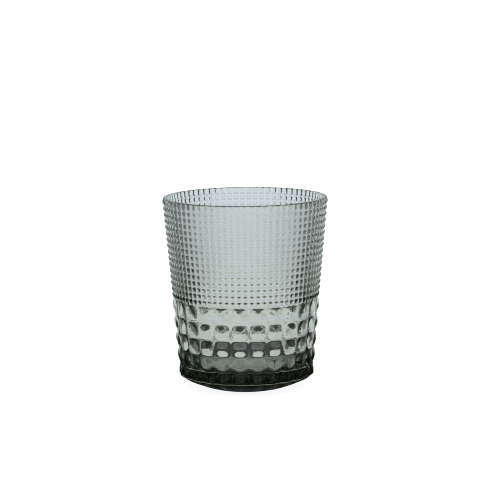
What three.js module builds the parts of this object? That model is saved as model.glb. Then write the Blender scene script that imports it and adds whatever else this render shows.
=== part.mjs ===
// A pressed-glass whiskey tumbler, made in one piece: a tapered cup with a fluted lip, fifteen rows of
// small beads, five rows of large beads, a thick base and a rounded heel that ends in a foot ring.
// Lengths are millimetres. +Z is up, the axis of the glass is Z, and z = 0 is the plane it stands on.
import * as THREE from 'three';

// Overall size.
const HEIGHT = 101.5;
const LIP_RADIUS = 43.9;
const LIP_THICKNESS = 3.2;
const LIP_WIDEST_Z = 99.2;
const LIP_ROUND = 0.7;
const LIP_FLUTE_DEPTH = 0.9;
const LIP_EDGE_RADIUS = 43.5;
const LIP_EDGE_FLUTE_DEPTH = 0.5;

// Small beads: a grid of low pyramids between straight grooves.
const SMALL_ROWS = 15;
const SMALL_COLUMNS = 75;
const SMALL_TOP_Z = 97.4;
const SMALL_TOP_GROOVE_RADIUS = 42.9;
const SMALL_BOTTOM_GROOVE_RADIUS = 38.1;
const SMALL_BEAD_HEIGHT = 0.85;

// Large beads: each one is a raised pad, three cells wide and three cells high.
const LARGE_ROWS = 4;
const LARGE_COLUMNS = 25;
const LARGE_TOP_Z = 47.95;
const LARGE_TOP_GROOVE_RADIUS = 38.8;
const LARGE_BEAD_HEIGHT = 0.95;
const CELLS_PER_BEAD = 3;

// The step between the two patterns.
const CHANGE_GAP = 0.3;

// Bottom row, heel and foot.
const FOOT_ROW_TOP_Z = 12.4;
const FOOT_ROW_GROOVE_RADIUS = 35.45;
const HEEL_TOP_Z = 7;
const HEEL_RADIUS = 36.05;
const HEEL_CURVE = 1.4;
const HEEL_STEPS = 4;
const FOOT_RADIUS = 21;
const FOOT_RING_WIDTH = 4.5;
const RECESS_SLOPE = 1.5;
const RECESS_DEPTH = 1.2;

// Inside of the cup.
const FLOOR_Z = 12;
const FLOOR_RISE = 0.6;
const FLOOR_CORNER_RADIUS = 5;
const CORNER_STEPS = 4;
const INNER_RADIUS_AT_CORNER = 30.2;

// A groove lies this far round from the -Y direction.
const GROOVE_ANGLE = THREE.MathUtils.degToRad(2);
const FULL_TURN = 2 * Math.PI;

const coordinates = [];
const triangles = [];

function addVertex(radius, turn, z) {
  const angle = turn * FULL_TURN - Math.PI / 2 + GROOVE_ANGLE;
  coordinates.push(radius * Math.cos(angle), radius * Math.sin(angle), z);
  return coordinates.length / 3 - 1;
}

// A level ring of vertices. The radius is a number, or a function of the vertex's place in the ring.
function addRing(count, z, radius) {
  const radiusAt = typeof radius === 'function' ? radius : () => radius;
  return Array.from({ length: count }, (_, place) => addVertex(radiusAt(place), place / count, z));
}

// Fills the band between two rings, which may have different numbers of vertices. The surface runs from
// the middle of the foot out, up the outside, over the lip and down the inside, and `from` comes first.
function joinRings(from, to) {
  let i = 0;
  let j = 0;
  while (i < from.length || j < to.length) {
    const a = from[i % from.length];
    const b = to[j % to.length];
    const stepFrom = (i + 1) / from.length <= (j + 1) / to.length;
    if (stepFrom) {
      i += 1;
      triangles.push(a, from[i % from.length], b);
    } else {
      j += 1;
      triangles.push(a, to[j % to.length], b);
    }
  }
}

function joinAll(rings) {
  for (let k = 1; k < rings.length; k += 1) {
    joinRings(rings[k - 1], rings[k]);
  }
}

// Closes the surface from a vertex on the axis to its first ring.
function openFan(centre, ring) {
  ring.forEach((vertex, i) => triangles.push(centre, ring[(i + 1) % ring.length], vertex));
}

// Closes the surface from its last ring to a vertex on the axis.
function closeFan(ring, centre) {
  ring.forEach((vertex, i) => triangles.push(vertex, ring[(i + 1) % ring.length], centre));
}

// Underside: a shallow recess, then the flat ring that the glass stands on.
function buildFoot() {
  const count = LARGE_COLUMNS * CELLS_PER_BEAD;
  const recessRadius = FOOT_RADIUS - FOOT_RING_WIDTH;
  const rings = [
    addRing(count, RECESS_DEPTH, recessRadius - RECESS_SLOPE),
    addRing(count, 0, recessRadius),
    addRing(count, 0, FOOT_RADIUS),
  ];
  openFan(addVertex(0, 0, RECESS_DEPTH), rings[0]);
  joinAll(rings);
  return rings[2];
}

// The vertices on a column's edge stay in the groove, and the two between them are raised.
function padRadius(grooveRadius, raise) {
  return (place) => grooveRadius + (place % CELLS_PER_BEAD === 0 ? 0 : raise);
}

// The heel curves out and up from the foot ring, and the ribs of the bottom row fade out along it.
function buildHeelAndFootRow(footEdge) {
  const count = LARGE_COLUMNS * CELLS_PER_BEAD;
  const rings = [footEdge];
  for (let step = 1; step <= HEEL_STEPS; step += 1) {
    const share = step / HEEL_STEPS;
    const crestRadius = THREE.MathUtils.lerp(FOOT_RADIUS, HEEL_RADIUS, 1 - (1 - share) ** HEEL_CURVE);
    const raise = LARGE_BEAD_HEIGHT * share;
    rings.push(addRing(count, HEEL_TOP_Z * share, padRadius(crestRadius - raise, raise)));
  }
  const shoulderZ = THREE.MathUtils.lerp(HEEL_TOP_Z, FOOT_ROW_TOP_Z, 2 / 3);
  rings.push(addRing(count, shoulderZ, padRadius(FOOT_ROW_GROOVE_RADIUS, LARGE_BEAD_HEIGHT)));
  rings.push(addRing(count, FOOT_ROW_TOP_Z, FOOT_ROW_GROOVE_RADIUS));
  joinAll(rings);
  return rings.at(-1);
}

function buildLargeBeads(firstGroove) {
  const count = LARGE_COLUMNS * CELLS_PER_BEAD;
  const topZ = LARGE_TOP_Z - CHANGE_GAP / 2;
  const rings = [firstGroove];
  for (let level = 1; level <= LARGE_ROWS * CELLS_PER_BEAD; level += 1) {
    const share = level / (LARGE_ROWS * CELLS_PER_BEAD);
    const grooveRadius = THREE.MathUtils.lerp(FOOT_ROW_GROOVE_RADIUS, LARGE_TOP_GROOVE_RADIUS, share);
    const raise = level % CELLS_PER_BEAD === 0 ? 0 : LARGE_BEAD_HEIGHT;
    const z = THREE.MathUtils.lerp(FOOT_ROW_TOP_Z, topZ, share);
    rings.push(addRing(count, z, padRadius(grooveRadius, raise)));
  }
  joinAll(rings);
  return rings.at(-1);
}

// Four triangles rise from the grooves round each small bead to its crest.
function buildSmallBeads(largeTop) {
  const bottomZ = LARGE_TOP_Z + CHANGE_GAP / 2;
  const grooveRadius = (share) =>
    THREE.MathUtils.lerp(SMALL_BOTTOM_GROOVE_RADIUS, SMALL_TOP_GROOVE_RADIUS, share);
  const height = (share) => THREE.MathUtils.lerp(bottomZ, SMALL_TOP_Z, share);
  let lower = addRing(SMALL_COLUMNS, bottomZ, SMALL_BOTTOM_GROOVE_RADIUS);
  joinRings(largeTop, lower);
  for (let row = 0; row < SMALL_ROWS; row += 1) {
    const middle = (row + 0.5) / SMALL_ROWS;
    const top = (row + 1) / SMALL_ROWS;
    const upper = addRing(SMALL_COLUMNS, height(top), grooveRadius(top));
    for (let column = 0; column < SMALL_COLUMNS; column += 1) {
      const next = (column + 1) % SMALL_COLUMNS;
      const crestRadius = grooveRadius(middle) + SMALL_BEAD_HEIGHT;
      const crest = addVertex(crestRadius, (column + 0.5) / SMALL_COLUMNS, height(middle));
      const corners = [lower[column], lower[next], upper[next], upper[column]];
      corners.forEach((corner, side) => triangles.push(corner, corners[(side + 1) % 4], crest));
    }
    lower = upper;
  }
  return lower;
}

// Every second vertex of a fluted ring lies in a groove between two columns.
function fluteRadius(crestRadius, depth) {
  return (place) => crestRadius - (place % 2 === 0 ? depth : 0);
}

// The lip, from the top groove over the rim to the inner wall. The grooves between the columns of small
// beads run on up its outer face.
function buildLip(topGroove) {
  const innerRadius = LIP_RADIUS - LIP_THICKNESS;
  const topOuterRadius = LIP_EDGE_RADIUS - LIP_EDGE_FLUTE_DEPTH - LIP_ROUND / 2;
  const edgeZ = HEIGHT - LIP_ROUND;
  const rings = [
    topGroove,
    addRing(2 * SMALL_COLUMNS, LIP_WIDEST_Z, fluteRadius(LIP_RADIUS, LIP_FLUTE_DEPTH)),
    addRing(2 * SMALL_COLUMNS, edgeZ, fluteRadius(LIP_EDGE_RADIUS, LIP_EDGE_FLUTE_DEPTH)),
    addRing(SMALL_COLUMNS, HEIGHT, topOuterRadius),
    addRing(SMALL_COLUMNS, HEIGHT, innerRadius + LIP_ROUND),
    addRing(SMALL_COLUMNS, edgeZ, innerRadius),
  ];
  joinAll(rings);
  return rings.at(-1);
}

// The smooth inner wall, the rounded corner and the slightly domed floor.
function buildInside(lipEdge) {
  const rings = [lipEdge];
  const cornerZ = FLOOR_Z + FLOOR_CORNER_RADIUS;
  const cornerCentre = INNER_RADIUS_AT_CORNER - FLOOR_CORNER_RADIUS;
  for (let step = 0; step <= CORNER_STEPS; step += 1) {
    const turn = (step / CORNER_STEPS) * (Math.PI / 2);
    const radius = cornerCentre + FLOOR_CORNER_RADIUS * Math.cos(turn);
    rings.push(addRing(SMALL_COLUMNS, cornerZ - FLOOR_CORNER_RADIUS * Math.sin(turn), radius));
  }
  joinAll(rings);
  closeFan(rings.at(-1), addVertex(0, 0, FLOOR_Z + FLOOR_RISE));
}

function makeGlassGeometry() {
  const footEdge = buildFoot();
  const footRowTop = buildHeelAndFootRow(footEdge);
  const largeTop = buildLargeBeads(footRowTop);
  const smallTop = buildSmallBeads(largeTop);
  const lipEdge = buildLip(smallTop);
  buildInside(lipEdge);
  const geometry = new THREE.BufferGeometry();
  geometry.setAttribute('position', new THREE.Float32BufferAttribute(coordinates, 3));
  geometry.setIndex(triangles);
  geometry.computeVertexNormals();
  return geometry;
}

const smokeGlass = new THREE.MeshStandardMaterial({
  color: 0x8d9994,
  roughness: 0.06,
  metalness: 0,
  transparent: true,
  opacity: 0.5,
});

const glassTumbler = new THREE.Mesh(makeGlassGeometry(), smokeGlass);
glassTumbler.name = 'glass_tumbler';

const tumbler = new THREE.Group();
tumbler.add(glassTumbler);

export default tumbler;
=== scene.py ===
"""A pressed smoke-glass whiskey tumbler with small beads above large beads, in a plain pale studio.

Lengths are metres, apart from the glass's own sizes and marks, which are millimetres. +Z is up, the
glass's axis is Z, and the camera looks along +Y.
"""
import math

import bpy
import numpy as np
from mathutils import Matrix, Vector


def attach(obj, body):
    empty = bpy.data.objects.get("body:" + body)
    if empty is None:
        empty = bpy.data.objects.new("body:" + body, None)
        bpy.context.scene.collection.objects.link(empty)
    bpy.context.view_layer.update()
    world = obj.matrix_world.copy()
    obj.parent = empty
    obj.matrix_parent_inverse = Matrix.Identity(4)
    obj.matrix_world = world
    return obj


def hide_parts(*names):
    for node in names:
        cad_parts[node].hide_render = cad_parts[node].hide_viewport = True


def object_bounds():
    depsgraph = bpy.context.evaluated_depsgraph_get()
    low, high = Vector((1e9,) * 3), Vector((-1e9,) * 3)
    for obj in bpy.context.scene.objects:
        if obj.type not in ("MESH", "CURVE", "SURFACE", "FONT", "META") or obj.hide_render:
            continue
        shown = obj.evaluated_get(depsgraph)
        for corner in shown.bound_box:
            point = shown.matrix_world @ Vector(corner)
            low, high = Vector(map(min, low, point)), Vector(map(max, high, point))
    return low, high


MM = 0.001
FULL_TURN = 2 * math.pi

# ---------------------------------------------------------------------------------------------------
# Sizes of the glass, in millimetres. The frame gives the height and the lip's radius, and these the rest.

SMALL_COLUMNS, SMALL_ROWS, SMALL_STEPS = 75, 15, 6
LARGE_COLUMNS, LARGE_ROWS, LARGE_STEPS = 25, 4, 12
FACETS_ROUND = 525          # divides evenly by both column counts
INNER_FACETS_ROUND = 105

SMALL_TOP_BELOW_RIM = 4.1
SMALL_GROUND_TOP, SMALL_GROUND_BOTTOM = 42.9, 38.3
SMALL_HEIGHT = 0.85
BEAD_SHARPNESS = 1.35       # 1 gives knife-edged grooves between the beads, 2 gives round ones
PATTERN_CHANGE_Z = 47.95
LARGE_GROUND_TOP, LARGE_GROUND_BOTTOM = 38.65, 35.45
LARGE_HEIGHT = 1.0

LIP_THICKNESS = 3.2
LIP_CREST_SHARE = 0.45      # where the lip is widest, as a share of its outer face
LIP_EDGE_DROP = 0.35        # how much of the flutes' height is lost by the rim's edge
LIP_ROUND = 0.7
LIP_STEPS = 8

FOOT_ROW_TOP_Z = 12.4
FOOT_ROW_STEPS = 8
HEEL_TOP_Z, HEEL_RADIUS, HEEL_STEPS = 7.0, 36.05, 12
HEEL_CURVE = 1.4            # 1 gives a straight slope from the foot ring, more rounds it
FOOT_RADIUS, FOOT_RING_WIDTH, RECESS_DEPTH = 21.0, 4.5, 1.2
FOOT_EDGE_ROUND = 0.5
RECESS_EDGE = ((-0.6, 0.8), (-0.2, 0.25), (0.2, 0.0))   # distance out past the edge, share of depth

FLOOR_Z, FLOOR_RISE, FLOOR_CORNER_RADIUS = 12.0, 0.6, 5.0
INNER_RADIUS_AT_CORNER = 30.2
WALL_STEPS, CORNER_STEPS = 12, 8
GROOVE_ANGLE = math.radians(2)      # how far a groove lies round from the front


def lerp(a, b, t):
    return a + (b - a) * t


# ---------------------------------------------------------------------------------------------------
# The glass's surface is a stack of rings. A ring is an array of points round the axis.


def ring(count, radius, z):
    """A ring of `count` points; radius and z are numbers or one value for each point."""
    turn = np.arange(count) / count * FULL_TURN - math.pi / 2 + GROOVE_ANGLE
    radius = np.broadcast_to(radius, count)
    z = np.broadcast_to(z, count)
    return np.column_stack([radius * np.cos(turn), radius * np.sin(turn), z]) * MM


def dome(phase):
    """Height of a bead, from 0 at its soft groove to 1 at its crest, at a phase from 0 to 1."""
    return np.sin(phase * math.pi) ** BEAD_SHARPNESS


def columns_of(count):
    """The height of every point round a ring, for a pattern with this many columns."""
    return dome(np.arange(FACETS_ROUND) * count / FACETS_ROUND % 1)


def foot_rings():
    """The recess under the glass and the flat ring it stands on."""
    inner = FOOT_RADIUS - FOOT_RING_WIDTH
    for share in (0.25, 0.5, 0.75, 0.9):
        yield ring(INNER_FACETS_ROUND, inner * share, RECESS_DEPTH)
    for out, depth_share in RECESS_EDGE:
        yield ring(INNER_FACETS_ROUND, inner + out, RECESS_DEPTH * depth_share)
    yield ring(INNER_FACETS_ROUND, FOOT_RADIUS - FOOT_EDGE_ROUND, 0.0)


def heel_rings():
    """The heel curves out and up from the foot ring, and the ribs of the bottom row fade in along it."""
    ribs = columns_of(LARGE_COLUMNS)
    for step in range(1, HEEL_STEPS):
        share = step / HEEL_STEPS
        crest = lerp(FOOT_RADIUS, HEEL_RADIUS, 1 - (1 - share) ** HEEL_CURVE)
        depth = LARGE_HEIGHT * math.sqrt(share)
        yield ring(FACETS_ROUND, crest - depth * (1 - ribs), HEEL_TOP_Z * share)


def foot_row_rings():
    """The bottom row of beads, from the heel up to the first groove."""
    ribs = columns_of(LARGE_COLUMNS)
    for step in range(FOOT_ROW_STEPS + 1):
        share = step / FOOT_ROW_STEPS
        z = lerp(HEEL_TOP_Z, FOOT_ROW_TOP_Z, share)
        ground = lerp(HEEL_RADIUS - LARGE_HEIGHT, LARGE_GROUND_BOTTOM, share)
        yield ring(FACETS_ROUND, ground + LARGE_HEIGHT * (1 - share**2) * ribs, z)


def bead_rings(rows, columns, steps, z_range, ground_range, height):
    """A band of domed beads, crossed by level grooves and upright grooves."""
    beads = columns_of(columns)
    for step in range(1, rows * steps):
        share = step / (rows * steps)
        rise = height * dome(step / steps % 1)
        yield ring(FACETS_ROUND, lerp(*ground_range, share) + rise * beads, lerp(*z_range, share))


def lip_rings(height, lip_radius):
    """The lip's fluted outer face, its rounded rim and its flat top, as far as the inner wall."""
    flutes = columns_of(SMALL_COLUMNS)
    ground = lip_radius - SMALL_HEIGHT
    low_z, edge_z = height - SMALL_TOP_BELOW_RIM, height - LIP_ROUND
    for step in range(1, LIP_STEPS + 1):
        share = step / LIP_STEPS
        if share < LIP_CREST_SHARE:
            rise = 1 - (1 - share / LIP_CREST_SHARE) ** 2
        else:
            rise = 1 - LIP_EDGE_DROP * ((share - LIP_CREST_SHARE) / (1 - LIP_CREST_SHARE)) ** 2
        base = lerp(SMALL_GROUND_TOP, ground, min(1, share / LIP_CREST_SHARE))
        yield ring(FACETS_ROUND, base + SMALL_HEIGHT * rise * flutes, lerp(low_z, edge_z, share))
    edge = ground + SMALL_HEIGHT * (1 - LIP_EDGE_DROP) * flutes
    top_radius = ground - LIP_ROUND / 2
    for degrees in (25, 50, 75):
        turn = math.radians(degrees)
        radius = lerp(edge, top_radius, 1 - math.cos(turn))
        yield ring(FACETS_ROUND, radius, edge_z + LIP_ROUND * math.sin(turn))
    yield ring(FACETS_ROUND, top_radius, height)
    inner = lip_radius - LIP_THICKNESS
    for degrees in (0, 30, 60, 90):
        turn = math.radians(degrees)
        radius = inner + LIP_ROUND * (1 - math.sin(turn))
        yield ring(INNER_FACETS_ROUND, radius, edge_z + LIP_ROUND * math.cos(turn))


def inside_rings(height, lip_radius):
    """The smooth inner wall, the rounded corner and the floor."""
    top_z = height - LIP_ROUND
    top_radius = lip_radius - LIP_THICKNESS
    corner_z = FLOOR_Z + FLOOR_CORNER_RADIUS
    for step in range(1, WALL_STEPS):
        share = step / WALL_STEPS
        radius = lerp(top_radius, INNER_RADIUS_AT_CORNER, share)
        yield ring(INNER_FACETS_ROUND, radius, lerp(top_z, corner_z, share))
    centre = INNER_RADIUS_AT_CORNER - FLOOR_CORNER_RADIUS
    for step in range(CORNER_STEPS + 1):
        turn = step / CORNER_STEPS * math.pi / 2
        radius = centre + FLOOR_CORNER_RADIUS * math.cos(turn)
        yield ring(INNER_FACETS_ROUND, radius, corner_z - FLOOR_CORNER_RADIUS * math.sin(turn))
    for share in (0.75, 0.5, 0.25):
        yield ring(INNER_FACETS_ROUND, centre * share, FLOOR_Z + FLOOR_RISE * (1 - share**2))


def band_faces(first, second, start_first, start_second):
    """Faces between two rings; rings of different counts are joined by triangles."""
    if first == second:
        i = np.arange(first)
        after = (i + 1) % first
        return np.column_stack(
            [start_first + i, start_first + after, start_second + after, start_second + i]
        ).tolist()
    faces = []
    i = j = 0
    while i < first or j < second:
        a, b = start_first + i % first, start_second + j % second
        if (i + 1) / first <= (j + 1) / second:
            i += 1
            faces.append([a, start_first + i % first, b])
        else:
            j += 1
            faces.append([a, start_second + j % second, b])
    return faces


def closed_mesh(name, rings, first_z, last_z):
    """A closed mesh through the rings, with a point on the axis before the first and after the last."""
    points = [np.array([[0, 0, first_z * MM]])]
    starts = []
    total = 1
    for ring_points in rings:
        starts.append(total)
        points.append(ring_points)
        total += len(ring_points)
    points.append(np.array([[0, 0, last_z * MM]]))
    count = len(rings[0])
    faces = [[0, starts[0] + (i + 1) % count, starts[0] + i] for i in range(count)]
    for k in range(1, len(rings)):
        faces += band_faces(len(rings[k - 1]), len(rings[k]), starts[k - 1], starts[k])
    count = len(rings[-1])
    faces += [[starts[-1] + i, starts[-1] + (i + 1) % count, total] for i in range(count)]
    mesh = bpy.data.meshes.new(name)
    mesh.from_pydata(np.vstack(points).tolist(), [], faces)
    mesh.polygons.foreach_set("use_smooth", [True] * len(mesh.polygons))
    mesh.update()
    obj = bpy.data.objects.new(name, mesh)
    bpy.context.scene.collection.objects.link(obj)
    return obj


def make_tumbler(height, lip_radius):
    small_top_z = height - SMALL_TOP_BELOW_RIM
    rings = [*foot_rings(), *heel_rings(), *foot_row_rings()]
    rings += bead_rings(LARGE_ROWS, LARGE_COLUMNS, LARGE_STEPS, (FOOT_ROW_TOP_Z, PATTERN_CHANGE_Z),
                        (LARGE_GROUND_BOTTOM, LARGE_GROUND_TOP), LARGE_HEIGHT)
    rings.append(ring(FACETS_ROUND, SMALL_GROUND_BOTTOM, PATTERN_CHANGE_Z))
    rings += bead_rings(SMALL_ROWS, SMALL_COLUMNS, SMALL_STEPS, (PATTERN_CHANGE_Z, small_top_z),
                        (SMALL_GROUND_BOTTOM, SMALL_GROUND_TOP), SMALL_HEIGHT)
    rings.append(ring(FACETS_ROUND, SMALL_GROUND_TOP, small_top_z))
    rings += lip_rings(height, lip_radius)
    rings += inside_rings(height, lip_radius)
    return closed_mesh("tumbler_glass", rings, RECESS_DEPTH, FLOOR_Z + FLOOR_RISE)


# ---------------------------------------------------------------------------------------------------
# Materials


GLASS_IOR = 1.51
TINT, TINT_DENSITY = (0.64, 0.68, 0.57, 1), 50.0
WAVE_SIZE, WAVE_DEPTH = 9.0, 0.05           # millimetres, like the other marks below
CHILL_SIZE, CHILL_DEPTH, CHILL_PATCH_SIZE = 0.7, 0.035, 14.0
CHILL_PATCHES = (0.42, 0.62, 0.15, 1.0)     # from clean glass to patches, then the chill in each
CHILL_TOP, CHILL_FULL = 64.0, 40.0          # the heights between which the chill marks set in
SMEAR_SIZE, SMEAR_RANGE = 18.0, (0.35, 0.7)
POLISH = (0.004, 0.03)                      # the roughness where it is best and least polished


def new_material(name):
    material = bpy.data.materials.new(name)
    material.use_nodes = True
    nodes = material.node_tree.nodes
    nodes.clear()
    return material, nodes, material.node_tree.links


def feed(links, source, socket):
    """Links a socket to another node's output, or sets it to a plain value."""
    if isinstance(source, bpy.types.NodeSocket):
        links.new(source, socket)
    else:
        socket.default_value = source


def math_node(nodes, links, operation, *values):
    """Adds a maths node; each value is a number or a socket."""
    node = nodes.new("ShaderNodeMath")
    node.operation = operation
    for value, socket in zip(values, node.inputs):
        feed(links, value, socket)
    return node.outputs["Value"]


def scaled(nodes, links, first, second):
    return math_node(nodes, links, "MULTIPLY", first, second)


def noise(nodes, links, vector, size, detail):
    """Adds a noise texture whose marks are about `size` millimetres across."""
    texture = nodes.new("ShaderNodeTexNoise")
    texture.inputs["Scale"].default_value = 1 / (size * MM)
    texture.inputs["Detail"].default_value = detail
    links.new(vector, texture.inputs["Vector"])
    return texture.outputs["Fac"]


def fade(nodes, links, value, start, end, low, high):
    """Adds a smooth step from `low` to `high` while the value goes from start to end."""
    step = nodes.new("ShaderNodeMapRange")
    step.interpolation_type = "SMOOTHSTEP"
    for name, number in zip(("From Min", "From Max", "To Min", "To Max"), (start, end, low, high)):
        step.inputs[name].default_value = number
    links.new(value, step.inputs["Value"])
    return step.outputs["Result"]


def bump(nodes, links, height, depth, strength, normal=None):
    """Adds a bump as deep as `depth` millimetres, on top of another bump's normal."""
    node = nodes.new("ShaderNodeBump")
    node.inputs["Distance"].default_value = depth * MM
    links.new(height, node.inputs["Height"])
    feed(links, strength, node.inputs["Strength"])
    if normal:
        links.new(normal, node.inputs["Normal"])
    return node.outputs["Normal"]


def smoke_glass():
    """Tinted pressed glass: a polished skin with slow waves, and a pebbled chill low on the outside."""
    material, nodes, links = new_material("smoke_glass")
    output = nodes.new("ShaderNodeOutputMaterial")
    shader = nodes.new("ShaderNodeBsdfPrincipled")
    shader.inputs["Base Color"].default_value = (1, 1, 1, 1)
    shader.inputs["IOR"].default_value = GLASS_IOR
    shader.inputs["Transmission Weight"].default_value = 1.0
    links.new(shader.outputs["BSDF"], output.inputs["Surface"])
    place = nodes.new("ShaderNodeTexCoord").outputs["Object"]
    split = nodes.new("ShaderNodeSeparateXYZ")
    links.new(place, split.inputs["Vector"])
    height = split.outputs["Z"]
    waves = bump(nodes, links, noise(nodes, links, place, WAVE_SIZE, 1), WAVE_DEPTH, 1.0)
    low_down = fade(nodes, links, height, CHILL_TOP * MM, CHILL_FULL * MM, 0.0, 1.0)
    patches = noise(nodes, links, place, CHILL_PATCH_SIZE, 1)
    where = fade(nodes, links, patches, *CHILL_PATCHES)
    strength = scaled(nodes, links, low_down, where)
    chill = noise(nodes, links, place, CHILL_SIZE, 2)
    normal = bump(nodes, links, chill, CHILL_DEPTH, strength, waves)
    links.new(normal, shader.inputs["Normal"])
    smears = noise(nodes, links, place, SMEAR_SIZE, 3)
    roughness = fade(nodes, links, smears, *SMEAR_RANGE, *POLISH)
    links.new(roughness, shader.inputs["Roughness"])
    volume = nodes.new("ShaderNodeVolumeAbsorption")
    volume.inputs["Color"].default_value = TINT
    volume.inputs["Density"].default_value = TINT_DENSITY
    links.new(volume.outputs["Volume"], output.inputs["Volume"])
    return material


# ---------------------------------------------------------------------------------------------------
# Stage. The camera sees a plain pale floor in a plain pale room, and the room lights the floor. Rays
# that have met the glass see a darker studio: lit panels with dark gaps between them, and a floor that
# glows with painted panel light, tinted near the glass, with a painted shadow and a painted caustic.

PANEL_COLOUR = (0.91, 1.0, 1.06, 1)
PANEL_STRENGTH = 0.72
GAP_LEVEL = 0.01
PANELS = (          # brightness at each angle round from straight behind the glass, in degrees
    (-180, 0.36), (-145, 0.36), (-120, GAP_LEVEL), (-95, GAP_LEVEL), (-53, GAP_LEVEL),
    (-37, 1.0), (-18, 0.83), (-9, 0.70), (0, 0.82), (9, 0.70), (18, 0.83), (42, 1.0),
    (60, GAP_LEVEL), (95, GAP_LEVEL), (120, GAP_LEVEL), (145, 0.36), (180, 0.36),
)
PANEL_TOP = (math.radians(25), math.radians(45))    # between these, the panels fade to the ceiling
CEILING_LEVEL = 0.12
PAINTED_SHADOW = (      # painted shadow: brightness of the floor's painted light at each distance from the axis, in metres
    (0.0, 0.10), (0.066, 0.10), (0.12, 0.95), (0.20, 1.0),
)
PAINTED_TINT_COLOUR, PAINTED_TINT_REACH = (0.94, 1.0, 0.96, 1), (0.10, 0.30)    # painted tint: the floor's painted light takes a green tint near the glass
PAINTED_CAUSTIC_REACH = (0.034, 0.0135)         # a painted caustic: a tinted patch of light painted on the floor under the glass
PAINTED_CAUSTIC_EDGE = 0.75                     # where the patch starts to fade, as a share of its reach
PAINTED_CAUSTIC_LEVEL = 0.34
PAINTED_CAUSTIC_COLOUR = (0.86, 1.0, 0.80, 1)
FLOOR_LEVEL = 0.25                      # share of the floor's painted panel light kept where no panel faces it
FLOOR_RADIUS = 7
PAPER_COLOUR = (0.93, 0.93, 0.93, 1)
FLOOR_WHITE = 0.75                      # how far the floor is lifted from grey paper to plain white
ROOM_LEVEL = 1.05


def ramp_of(nodes, levels):
    """Adds a smooth ramp through (position, level) pairs."""
    ramp = nodes.new("ShaderNodeValToRGB")
    ramp.color_ramp.interpolation = "EASE"
    stops = ramp.color_ramp.elements
    while len(stops) < len(levels):
        stops.new(0.5)
    for stop, (position, level) in zip(stops, levels):
        stop.position = position
        stop.color = (level, level, level, 1)
    return ramp


def panel_level(nodes, links, direction):
    """Adds nodes that turn a direction into the brightness of the panels in that direction."""
    split = nodes.new("ShaderNodeSeparateXYZ")
    links.new(direction, split.inputs["Vector"])
    turn = math_node(nodes, links, "ARCTAN2", split.outputs["X"], split.outputs["Y"])
    share = math_node(nodes, links, "MULTIPLY_ADD", turn, 1 / FULL_TURN, 0.5)
    ramp = ramp_of(nodes, [(0.5 + angle / 360, level) for angle, level in PANELS])
    links.new(share, ramp.inputs["Fac"])
    return ramp.outputs["Color"]


def length_of(nodes, links, vector):
    node = nodes.new("ShaderNodeVectorMath")
    node.operation = "LENGTH"
    links.new(vector, node.inputs[0])
    return node.outputs["Value"]


def emission(nodes, links, colour, strength):
    light = nodes.new("ShaderNodeEmission")
    feed(links, colour, light.inputs["Color"])
    feed(links, strength, light.inputs["Strength"])
    return light.outputs["Emission"]


def mixed(nodes, links, share, first, second):
    """Adds a mix of two shaders: the first where the share is 0, the second where it is 1."""
    mix = nodes.new("ShaderNodeMixShader")
    feed(links, share, mix.inputs["Fac"])
    links.new(first, mix.inputs[1])
    links.new(second, mix.inputs[2])
    return mix.outputs["Shader"]


def painted_panel_light_on_floor(nodes, links, place):
    """The floor as the glass sees it: a glow of painted panel light, with a painted shadow round the foot
    and a painted tint near it.
    """
    distance = length_of(nodes, links, place)
    reach = PAINTED_SHADOW[-1][0]
    patch = ramp_of(nodes, [(radius / reach, level) for radius, level in PAINTED_SHADOW])
    links.new(scaled(nodes, links, distance, 1 / reach), patch.inputs["Fac"])
    panels = panel_level(nodes, links, place)
    share = fade(nodes, links, panels, 0.0, 1.0, FLOOR_LEVEL, 1.0)
    level = scaled(nodes, links, patch.outputs["Color"], share)
    tone = nodes.new("ShaderNodeMix")
    tone.data_type = "RGBA"
    tone.inputs[6].default_value = PAINTED_TINT_COLOUR
    tone.inputs[7].default_value = PANEL_COLOUR
    links.new(fade(nodes, links, distance, *PAINTED_TINT_REACH, 0.0, 1.0), tone.inputs[0])
    return emission(nodes, links, tone.outputs[2], scaled(nodes, links, level, PANEL_STRENGTH))


def painted_patch_of_light(nodes, links, place):
    """A painted caustic, a tinted patch of light under the foot, and where it lies as a share from 0 to
    1.
    """
    stretch = nodes.new("ShaderNodeVectorMath")
    stretch.operation = "MULTIPLY"
    stretch.inputs[1].default_value = (1 / PAINTED_CAUSTIC_REACH[0], 1 / PAINTED_CAUSTIC_REACH[1], 0)
    links.new(place, stretch.inputs[0])
    reach_share = length_of(nodes, links, stretch.outputs["Vector"])
    where = fade(nodes, links, reach_share, PAINTED_CAUSTIC_EDGE, 1.0, 1.0, 0.0)
    return emission(nodes, links, PAINTED_CAUSTIC_COLOUR, PAINTED_CAUSTIC_LEVEL * PANEL_STRENGTH), where


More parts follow.
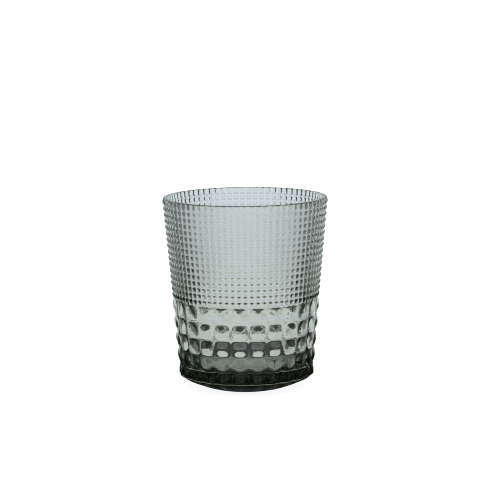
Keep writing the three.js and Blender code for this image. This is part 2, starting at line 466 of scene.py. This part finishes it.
def make_floor():
    bpy.ops.mesh.primitive_circle_add(
        vertices=96, radius=FLOOR_RADIUS, fill_type="NGON", location=(0, 0, 0)
    )
    floor = bpy.context.object
    floor.name = "studio_floor"
    material, nodes, links = new_material("pale_floor")
    output = nodes.new("ShaderNodeOutputMaterial")
    place = nodes.new("ShaderNodeTexCoord").outputs["Object"]
    # Rays from the glass see painted light here: the floor glows as if lit by the panels, with a painted
    # shadow round the foot and a painted caustic under it.
    light = painted_panel_light_on_floor(nodes, links, place)
    tinted, where = painted_patch_of_light(nodes, links, place)
    painted_floor_glow = mixed(nodes, links, where, light, tinted)
    paper = nodes.new("ShaderNodeBsdfDiffuse")
    paper.inputs["Color"].default_value = PAPER_COLOUR
    white = emission(nodes, links, (1, 1, 1, 1), 1.0)
    seen = mixed(nodes, links, FLOOR_WHITE, paper.outputs["BSDF"], white)
    # The camera sees the pale floor; every other ray sees the painted glow.
    path = nodes.new("ShaderNodeLightPath")
    surface = mixed(nodes, links, path.outputs["Is Camera Ray"], painted_floor_glow, seen)
    links.new(surface, output.inputs["Surface"])
    floor.data.materials.append(material)


def background(nodes, links, colour, strength):
    light = nodes.new("ShaderNodeBackground")
    feed(links, colour, light.inputs["Color"])
    feed(links, strength, light.inputs["Strength"])
    return light.outputs["Background"]


def make_world():
    world = bpy.data.worlds.new("studio")
    bpy.context.scene.world = world
    world.use_nodes = True
    nodes, links = world.node_tree.nodes, world.node_tree.links
    nodes.clear()
    output = nodes.new("ShaderNodeOutputWorld")
    direction = nodes.new("ShaderNodeTexCoord").outputs["Generated"]
    split = nodes.new("ShaderNodeSeparateXYZ")
    links.new(direction, split.inputs["Vector"])
    low_sine, high_sine = (math.sin(elevation) for elevation in PANEL_TOP)
    top = fade(nodes, links, split.outputs["Z"], low_sine, high_sine, 1.0, CEILING_LEVEL)
    level = scaled(nodes, links, panel_level(nodes, links, direction), top)
    panels = background(nodes, links, PANEL_COLOUR, scaled(nodes, links, level, PANEL_STRENGTH))
    room = background(nodes, links, (1, 1, 1, 1), ROOM_LEVEL)
    path = nodes.new("ShaderNodeLightPath")
    open_room = math_node(
        nodes, links, "MAXIMUM", path.outputs["Is Camera Ray"], path.outputs["Is Diffuse Ray"]
    )
    links.new(mixed(nodes, links, open_room, panels, room), output.inputs["Surface"])


# ---------------------------------------------------------------------------------------------------
# Camera

CAMERA_DISTANCE = 1.075
CAMERA_ELEVATION = math.radians(9.6)
CAMERA_ROLL = math.radians(0.55)
VIEW_WIDTH = 0.2669         # what the picture's width spans at the glass
AIM_RIGHT, AIM_UP = 0.0024, 0.0217     # the view's middle, from the middle of the glass
SENSOR_WIDTH = 36           # millimetres
CLIP_END = 20
MOST_BOUNCES, GLOSSY_BOUNCES = 32, 16   # a ray crosses four faces of glass, or bounces inside it
BRIGHTEST_BOUNCE = 10
PIXEL_FILTER = 1.0


def make_camera(middle):
    data = bpy.data.cameras.new("camera")
    camera = bpy.data.objects.new("camera", data)
    bpy.context.scene.collection.objects.link(camera)
    data.sensor_width = SENSOR_WIDTH
    data.lens = data.sensor_width * CAMERA_DISTANCE / VIEW_WIDTH
    back = Vector((0, -math.cos(CAMERA_ELEVATION), math.sin(CAMERA_ELEVATION)))
    camera.location = middle + back * CAMERA_DISTANCE
    up = Vector((0, math.sin(CAMERA_ELEVATION), math.cos(CAMERA_ELEVATION)))
    aim = middle + Vector((AIM_RIGHT, 0, 0)) + up * AIM_UP
    turn = (aim - camera.location).to_track_quat("-Z", "Y").to_matrix()
    roll = Matrix.Rotation(-CAMERA_ROLL, 3, "Z")
    camera.rotation_euler = (turn @ roll).to_euler()
    data.clip_end = CLIP_END
    bpy.context.scene.camera = camera


# ---------------------------------------------------------------------------------------------------

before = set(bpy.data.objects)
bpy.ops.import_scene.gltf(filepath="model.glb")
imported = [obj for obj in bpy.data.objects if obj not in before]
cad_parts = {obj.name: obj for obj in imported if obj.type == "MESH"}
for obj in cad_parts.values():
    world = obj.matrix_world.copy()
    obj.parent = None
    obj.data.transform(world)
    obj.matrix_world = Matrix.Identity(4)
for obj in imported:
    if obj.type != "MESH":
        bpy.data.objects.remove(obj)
cad_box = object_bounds()
low, high = cad_box

tumbler = make_tumbler(high.z / MM, high.x / MM)
tumbler.data.materials.append(smoke_glass())
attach(tumbler, "root")
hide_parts("glass_tumbler")

make_floor()
make_world()
make_camera((low + high) / 2)

scene = bpy.context.scene
scene.view_settings.view_transform = "Standard"
scene.view_settings.look = "Medium High Contrast"
scene.cycles.filter_width = PIXEL_FILTER
scene.cycles.max_bounces = MOST_BOUNCES
scene.cycles.transmission_bounces = MOST_BOUNCES
scene.cycles.glossy_bounces = GLOSSY_BOUNCES
scene.cycles.sample_clamp_indirect = BRIGHTEST_BOUNCE
